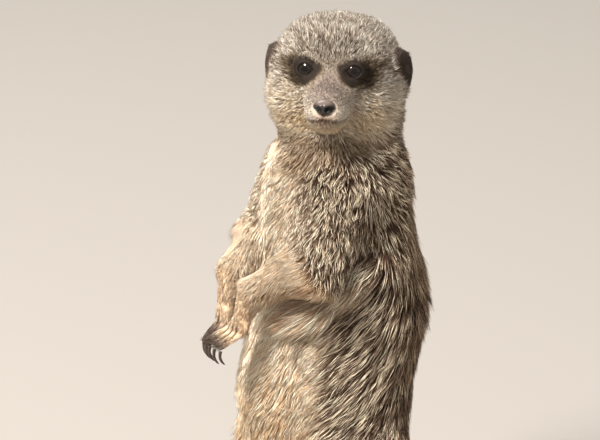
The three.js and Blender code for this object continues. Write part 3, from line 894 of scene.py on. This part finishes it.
root = at_roots(points)
root_normal = unit(at_roots(normals))
root_lie = at_roots(lie)
root_lie = unit(root_lie - root_normal * (root_lie * root_normal).sum(1, keepdims=True))
root_marks = at_roots(marks)
root_length, root_width, root_lift = at_roots(length), at_roots(width), at_roots(lift)
root_lock = at_roots(coat[:, 4])
sleek = trunk_share * 0.55 + on_roll * 0.3 + share_of("forearm", "hand", "shank") * 0.65
root_sleek = at_roots(sleek)
root_kind = kind[corners[chosen, corner_share.argmax(1)]]

# locks: each tuft leans in to the nearest of a thinned set of leading tufts
order = draw.permutation(tuft_count)
cells = np.floor(root[order] / (root_lock[order, None] * MM) + 0.5).astype(np.int64)
_, first = np.unique(cells @ [73856093, 19349663, 83492791], return_index=True)
leaders = order[np.sort(first)]
leader_tree = KDTree(len(leaders))
for i, place in enumerate(root[leaders]):
    leader_tree.insert(place, i)
leader_tree.balance()
leader = leaders[[leader_tree.find(place)[1] for place in root]]

tuft_length = root_length * draw.uniform(0.72, 1.12, tuft_count)
tuft_lift = root_lift * draw.uniform(0.75, 1.2, tuft_count)
veer = draw.normal(0, 0.15, tuft_count)[:, None]
way = unit(root_lie + np.cross(root_normal, root_lie) * veer)
lock_turn = (draw.normal(0, 0.28, tuft_count) * (1 - root_sleek))[:, None]
lock_way = unit(root_lie + np.cross(root_normal, root_lie) * lock_turn)
own_bend = draw.normal(0, 0.14, tuft_count)
bend = (own_bend + draw.normal(0, 0.16, tuft_count)[leader]) * (1 - root_sleek)


def strand(base, normal, ways, lengths, lifts, bends, t):
    """The places a share t along tufts that rise from the skin, then bend down and aside."""
    rise_by = lifts * (1.55 * t - 0.75 * t * t)
    run_by = t * np.sqrt(1 - lifts**2)
    aside = bends * (t * t - 0.35 * t)
    place = ways * run_by[:, None] + normal * rise_by[:, None]
    return base + (place + np.cross(normal, ways) * aside[:, None]) * (lengths * MM)[:, None]


OFF_FLOOR = 0.4


def tuft_place(t):
    own = strand(root, root_normal, way, tuft_length, tuft_lift, bend, t)
    leading = (root, root_normal, lock_way, tuft_length, tuft_lift, bend)
    lead = strand(*[values[leader] for values in leading], t)
    place = own + (lead - own) * 0.55 * t**1.6
    place[:, 2] = np.maximum(place[:, 2], OFF_FLOOR * MM)
    return place


# colours along each tuft
lock_pale = draw.uniform(0, 1, tuft_count)[leader]
pale = rise(draw.uniform(0, 1, tuft_count) * 0.75 + lock_pale * 0.4, 0.49, 0.70)
shade = draw.uniform(0.8, 1.08, tuft_count)[:, None]


def tuft_colour(t):
    dark, middle, tip = root_marks[:, 0], root_marks[:, 1], root_marks[:, 2]
    tip = middle + (tip - middle) * pale[:, None]
    low = dark + (middle - dark) * rise(t, 0.0, 0.4)
    return (low + (tip - low) * rise(t, 0.15, 0.6)) * shade


# each root's place on an unwrapped skin: round its part, and along it
def unwrapped(places, axis_from, axis_to):
    axis = np.array(axis_to, float) - axis_from
    size = np.linalg.norm(axis)
    axis = axis / size
    out = places - axis_from
    along = out @ axis / size
    first = unit(np.cross(axis, [0.3, 1, 0.1]))
    second = np.cross(axis, first)
    around = np.arctan2(out @ first, out @ second) / (2 * math.pi) + 0.5
    return np.stack([around, along], axis=1)


UV_PATCH = 0.003
ROOT_SINK = 0.35
TAPER = (1.0, 0.92, 0.62)  # a tuft's width at each ring, as a share of its full width
TUFT_WIDE, TUFT_THICK = 1.15, 0.7
SIDES = 3
ROUND = np.radians([90, 210, 330])
coat_material, tree, shader = new_material("guard_hair", 0.62, 0.22)
place = place_on(tree)
streak = noise(tree, place, 900.0, 2.0)
shown = mixed(streak.between(0.3, 0.8) * 0.25, attribute(tree, "markings"), rgba(60, 46, 36))
feed(shader, "Base Color", shown)


def grow_coat(name, picked, rings, axis):
    """One piece of coat: closed three-sided tufts, each unwrapped near its root's place."""
    total = len(picked)
    steps = np.append(np.linspace(0, 1, rings + 1)[:-1] ** 1.15, 1.0)
    spine = [tuft_place(t)[picked] for t in steps]
    spine[0] = spine[0] - root_normal[picked] * ROOT_SINK * MM
    verts = np.empty((total, rings * SIDES + 1, 3), np.float32)
    shades = np.empty((total, rings * SIDES + 1, 3))
    for r in range(rings):
        ahead = unit(spine[r + 1] - spine[r])
        across = unit(np.cross(ahead, root_normal[picked]))
        above = np.cross(across, ahead)
        half = (root_width[picked] * MM / 2 * TAPER[r if rings == 3 else 2 * r])[:, None]
        for k, angle in enumerate(ROUND):
            offset = across * math.cos(angle) * half * TUFT_WIDE
            offset = offset + above * math.sin(angle) * half * TUFT_THICK
            verts[:, r * SIDES + k] = spine[r] + offset
            shades[:, r * SIDES + k] = tuft_colour(steps[r])[picked]
    verts[:, -1] = spine[-1]
    shades[:, -1] = tuft_colour(1.0)[picked]

    faces, sizes, patch_uv = [0, 1, 2], [3], [(0, 0), (0.5, 0), (1, 0)]
    for r in range(rings - 1):
        for k in range(SIDES):
            near_k, far_k = r * SIDES + k, r * SIDES + (k + 1) % SIDES
            faces += [near_k, near_k + SIDES, far_k + SIDES, far_k]
            sizes.append(4)
            near_u, far_u = k / 3, (k + 1) / 3
            patch_uv += [(near_u, steps[r]), (near_u, steps[r + 1])]
            patch_uv += [(far_u, steps[r + 1]), (far_u, steps[r])]
    for k in range(SIDES):
        near_k, far_k = (rings - 1) * SIDES + k, (rings - 1) * SIDES + (k + 1) % SIDES
        faces += [near_k, rings * SIDES, far_k]
        sizes.append(3)
        patch_uv += [(k / 3, steps[-2]), ((k + 0.5) / 3, 1), ((k + 1) / 3, steps[-2])]
    loops = (np.array(faces)[None] + np.arange(total)[:, None] * (rings * SIDES + 1)).ravel()
    totals = np.tile(sizes, total)
    starts = np.concatenate([[0], np.cumsum(totals)[:-1]])
    mesh = bpy.data.meshes.new(name)
    mesh.vertices.add(total * (rings * SIDES + 1))
    mesh.vertices.foreach_set("co", verts.ravel())
    mesh.loops.add(len(loops))
    mesh.loops.foreach_set("vertex_index", loops.astype(np.int32))
    mesh.polygons.add(len(totals))
    mesh.polygons.foreach_set("loop_start", starts.astype(np.int32))
    mesh.polygons.foreach_set("use_smooth", np.ones(len(totals), bool))
    mesh.update()
    home = unwrapped(on_body(root[picked]), *axis)
    home = home * (1 - 2 * UV_PATCH) + UV_PATCH / 2
    uv = home[:, None] + np.array(patch_uv)[None] * UV_PATCH
    mesh.uv_layers.new(name="OFBake").data.foreach_set("uv", uv.astype(np.float32).ravel())
    colour_attribute(mesh, "markings", shades.reshape(-1, 3))
    mesh.materials.append(coat_material)
    piece = add_object(name, mesh)
    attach(piece, "root")


root_body = on_body(root)
root_head = in_head(root)
root_angle = round_front(root_body)


def of_kind(*kinds):
    return np.isin(root_kind, [KINDS.index(k) for k in kinds])


CROWN_FROM, FACE_FROM = 7, -19
FRONT_TO, BACK_FROM = 60, 130  # degrees round the trunk from its front
BELLY_TO = 160
HEAD_AXIS = on_body(from_head([0, 30, -30])), on_body(from_head([0, -10, 30]))
BODY_AXIS = (0, 0, 90), (0, 0, 262)
ARM_AXIS = (0, -20, 160), (0, -60, 210)
THIGH_AXIS = (0, 10, 50), (0, -10, 130)
SHANK_AXIS = (0, 0, 0), (0, 0, 90)
TAIL_AXIS = (0, 12, 110), (50, 200, 0)
on_head, on_trunk = of_kind("head"), of_kind("trunk")
below_crown = on_head & (root_head[:, 2] <= CROWN_FROM)
on_face = root_head[:, 1] < FACE_FROM
on_front = on_trunk & (np.abs(root_angle) < FRONT_TO)
on_left = on_trunk & (root_angle >= FRONT_TO) & (root_angle < BACK_FROM)
on_right = on_trunk & (root_angle <= -FRONT_TO) & (root_angle > -BACK_FROM)
above_belly = root_body[:, 2] > BELLY_TO
COAT_PIECES = {
    # name: the tufts it holds, rings to a tuft, axis it is unwrapped round, slot
    "coat_crown": (on_head & (root_head[:, 2] > CROWN_FROM), 2, HEAD_AXIS, "crown_coat"),
    "coat_face": (below_crown & on_face, 2, HEAD_AXIS, "crown_coat"),
    "coat_cheeks": (below_crown & ~on_face, 2, HEAD_AXIS, "crown_coat"),
    "coat_ears": (of_kind("ear"), 2, HEAD_AXIS, "dark_coat"),
    "coat_neck": (of_kind("neck"), 3, BODY_AXIS, "back_coat"),
    "coat_breast": (on_front & above_belly, 3, BODY_AXIS, "pale_coat"),
    "coat_belly": (on_front & ~above_belly, 3, BODY_AXIS, "pale_coat"),
    "coat_flank_left": (on_left, 3, BODY_AXIS, "back_coat"),
    "coat_flank_right": (on_right, 2, BODY_AXIS, "back_coat"),
    "coat_back": (on_trunk & (np.abs(root_angle) >= BACK_FROM), 2, BODY_AXIS, "back_coat"),
    "coat_upper_arms": (of_kind("upper_arm"), 3, BODY_AXIS, "back_coat"),
    "coat_forearms": (of_kind("forearm", "hand"), 2, ARM_AXIS, "pale_coat"),
    "coat_thighs": (of_kind("thigh"), 2, THIGH_AXIS, "back_coat"),
    "coat_shanks": (of_kind("shank", "foot"), 2, SHANK_AXIS, "pale_coat"),
    "coat_tail": (of_kind("tail_root", "tail_middle"), 2, TAIL_AXIS, "tail_coat"),
    "coat_tail_tip": (of_kind("tail_tip"), 2, TAIL_AXIS, "dark_coat"),
}
for name, (wearing, rings, axis, slot) in COAT_PIECES.items():
    grow_coat(name, np.flatnonzero(wearing), rings, axis)

# the hide's own fine grain is needed only where it shows, so it is thinned under the coat
GRAIN_KEPT = 0.42
GRAIN_STEPS = 4
shown_skin = np.clip(share_of("hand", "foot", "ear") + on_muzzle + by_eye, 0, 1)
covered = skin.vertex_groups.new(name="covered")
for step in range(GRAIN_STEPS + 1):
    at_step = np.flatnonzero((shown_skin * GRAIN_STEPS).round() == step)
    covered.add(at_step.tolist(), 1 - step / GRAIN_STEPS, "REPLACE")
fewer = skin.modifiers.new("fewer", "DECIMATE")
fewer.ratio = GRAIN_KEPT
fewer.vertex_group = "covered"
apply_modifiers(skin)

# ------------------------------------------------------------------ eyes
# Wet round eyeballs set deep in the lids: a dark brown iris about a black pupil, and little
# white. A thin bare rim runs round each opening.
PUPIL, IRIS = math.cos(math.radians(17)), math.cos(math.radians(46))
RIM_THICK = 0.085  # of the opening's half width
RIM_OUT, RIM_DEEP = 0.12, 4.5


def add_piece(name, shape, material, slot, *replaced):
    """A finished piece from a bmesh, smooth, riding on the body."""
    mesh = bpy.data.meshes.new(name)
    shape.to_mesh(mesh)
    shape.free()
    mesh.shade_smooth()
    mesh.materials.append(material)
    piece = add_object(name, mesh)
    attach(piece, "root")
    if replaced:
        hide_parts(*replaced)
    return piece


for name, mirror in (("left", np.ones(3)), ("right", MIRROR)):
    ball = bmesh.new()
    bmesh.ops.create_uvsphere(ball, u_segments=48, v_segments=32, radius=EYE_RADIUS * MM)
    centre = from_head(EYE_PLACE * mirror)
    bmesh.ops.translate(ball, verts=ball.verts, vec=Vector(centre))
    eye_material, tree, shader = new_material("eye_" + name, 0.06, 0.3)
    less = {"operation": "SUBTRACT"}
    outward = shader_node(tree, "ShaderNodeVectorMath", less, place_on(tree), tuple(centre))
    outward = outward.node("ShaderNodeVectorMath", {"operation": "NORMALIZE"}, outward)
    gaze = tuple((GAZE * mirror) @ head_axes)
    facing = outward.node("ShaderNodeVectorMath", {"operation": "DOT_PRODUCT"}, outward, gaze)
    fibres = noise(tree, outward, 14.0, 3.0)
    iris = mixed(fibres.between(0.3, 0.7), rgba(14, 9, 7), rgba(34, 22, 15))
    white = mixed(facing.between(IRIS - 0.02, IRIS + 0.02), rgba(30, 24, 21), iris)
    limbus = facing.between(IRIS - 0.03, IRIS + 0.005)
    limbus = limbus * (1 - facing.between(IRIS + 0.005, IRIS + 0.06))
    ringed = mixed(limbus, white, rgba(12, 8, 7))
    shown = mixed(facing.between(PUPIL - 0.012, PUPIL + 0.012), ringed, rgba(5, 4, 4))
    feed(shader, "Base Color", shown)
    add_piece("eyeball_" + name, ball, eye_material, "wet_eye", "eye_" + name)

    # the bare moist edge of the lids, a ring that follows the opening
    rim = bmesh.new()
    bmesh.ops.create_circle(rim, segments=10, radius=RIM_THICK)
    bmesh.ops.rotate(rim, verts=rim.verts, matrix=Matrix.Rotation(math.pi / 2, 3, "X"))
    bmesh.ops.translate(rim, verts=rim.verts, vec=(1, 0, 0))
    ring_of = rim.verts[:] + rim.edges[:]
    turn = {"axis": (0, 0, 1), "steps": 56, "angle": 2 * math.pi}
    bmesh.ops.spin(rim, geom=ring_of, use_merge=True, **turn)
    for vert in rim.verts:
        wide, high, out = vert.co
        toward = GAZE + lid_across * math.tan(wide * OPENING[0])
        toward = toward + lid_up * math.tan(high * OPENING[1])
        spot = EYE_PLACE + unit(toward) * (EYE_RADIUS + RIM_OUT + out * RIM_DEEP)
        vert.co = Vector(from_head(spot * mirror))
    bmesh.ops.recalc_face_normals(rim, faces=rim.faces)
    rim_material, tree, shader = new_material("lid_rim_" + name, 0.55, 0.2)
    shader.inputs["Base Color"].default_value = rgba(16, 11, 10)
    add_piece("lid_rim_" + name, rim, rim_material, "bare_nose")

# ------------------------------------------------------------------ nose
# The bare leathery pad: two rounded lobes parted by a groove, each with a comma-shaped
# nostril. It is paler and dry on top, where it meets the muzzle.
NOSTRIL_WIDE, NOSTRIL_DEPTH = 0.95, 2.2
NOSTRIL = [(1.5, 0, -0.6), (2.3, 0, 0.1), (3.2, 0, -0.1), (4.0, 0, -1.2)]
pad = bmesh.new()
bmesh.ops.create_uvsphere(pad, u_segments=96, v_segments=64, radius=1)
local = np.array([v.co for v in pad.verts]) * NOSE_SIZE
taper = 1 - 0.34 * rise(local[:, 2], 0.8, -3.9)
local[:, 0] *= taper
local[:, 1] += 0.9 * rise(local[:, 2], -1.0, -3.9)
front_share = rise(local[:, 1], 0.5, -2.0)
flat = np.abs(local) * [1, 0, 0] + local * [0, 0, 1]
hollow = near_line(flat, NOSTRIL, NOSTRIL_WIDE) * front_share
groove = np.exp(-((local[:, 0] / 0.42) ** 2)) * rise(local[:, 2], 2.6, 0.2) * front_share
lobe = np.exp(-(((flat[:, 0] - 2.4) / 1.6) ** 2) - ((flat[:, 2] - 1.7) / 1.3) ** 2) * front_share
local[:, 1] += hollow * NOSTRIL_DEPTH + groove * 0.55 - lobe * 0.35
for vert, spot in zip(pad.verts, from_head(local + NOSE_PLACE + [0, -0.2, 0.3])):
    vert.co = Vector(spot)
bridge = rise(local[:, 2], 0.8, 3.0)
nose_material, tree, shader = new_material("nose_leather", 0.34, 0.3)
pebbles = shader_node(tree, "ShaderNodeTexVoronoi", {}, place_on(tree), None, 2600.0)
leather = mixed(attribute(tree, "bridge", 2), rgba(46, 38, 36), rgba(98, 84, 78))
# painted shade: the nostril hollows are coloured near-black
shown = mixed(attribute(tree, "hollow", 2).between(0.12, 0.4), leather, rgba(4, 3, 3))
feed(shader, "Base Color", shown)
bump = shader_node(tree, "ShaderNodeBump", {}, 0.4, 0.0002)
tree.links.new(pebbles.socket, bump.socket.node.inputs["Height"])
feed(shader, "Normal", bump)
nose = add_piece("nose_pad", pad, nose_material, "bare_nose", "nose")
for name, values in (("hollow", hollow), ("bridge", bridge)):
    layer = nose.data.attributes.new(name, "FLOAT", "POINT")
    layer.data.foreach_set("value", values.astype(np.float32))

# ------------------------------------------------------------------ claws
# Long curved horn claws, flat-sided, dark with paler mottling, four to each paw. They are
# the solid claws of the model, rounded off.
claw_material, tree, shader = new_material("claw_horn", 0.38)
grain = noise(tree, place_on(tree), 700.0, 2.0)
feed(shader, "Base Color", mixed(grain.between(0.35, 0.7), rgba(34, 25, 22), rgba(84, 68, 60)))
for paw in ("fore_claw_left", "fore_claw_right", "hind_claw_left", "hind_claw_right"):
    names = [n for n in nodes if n.startswith(paw)]
    claws = bmesh.new()
    for name in names:
        claws.from_mesh(nodes[name].data)
    bmesh.ops.remove_doubles(claws, verts=claws.verts, dist=1e-6)
    piece = add_piece(paw.replace("claw", "claws"), claws, claw_material, "claw_horn", *names)
    rounding = piece.modifiers.new("rounding", "SUBSURF")
    rounding.levels = rounding.render_levels = 2
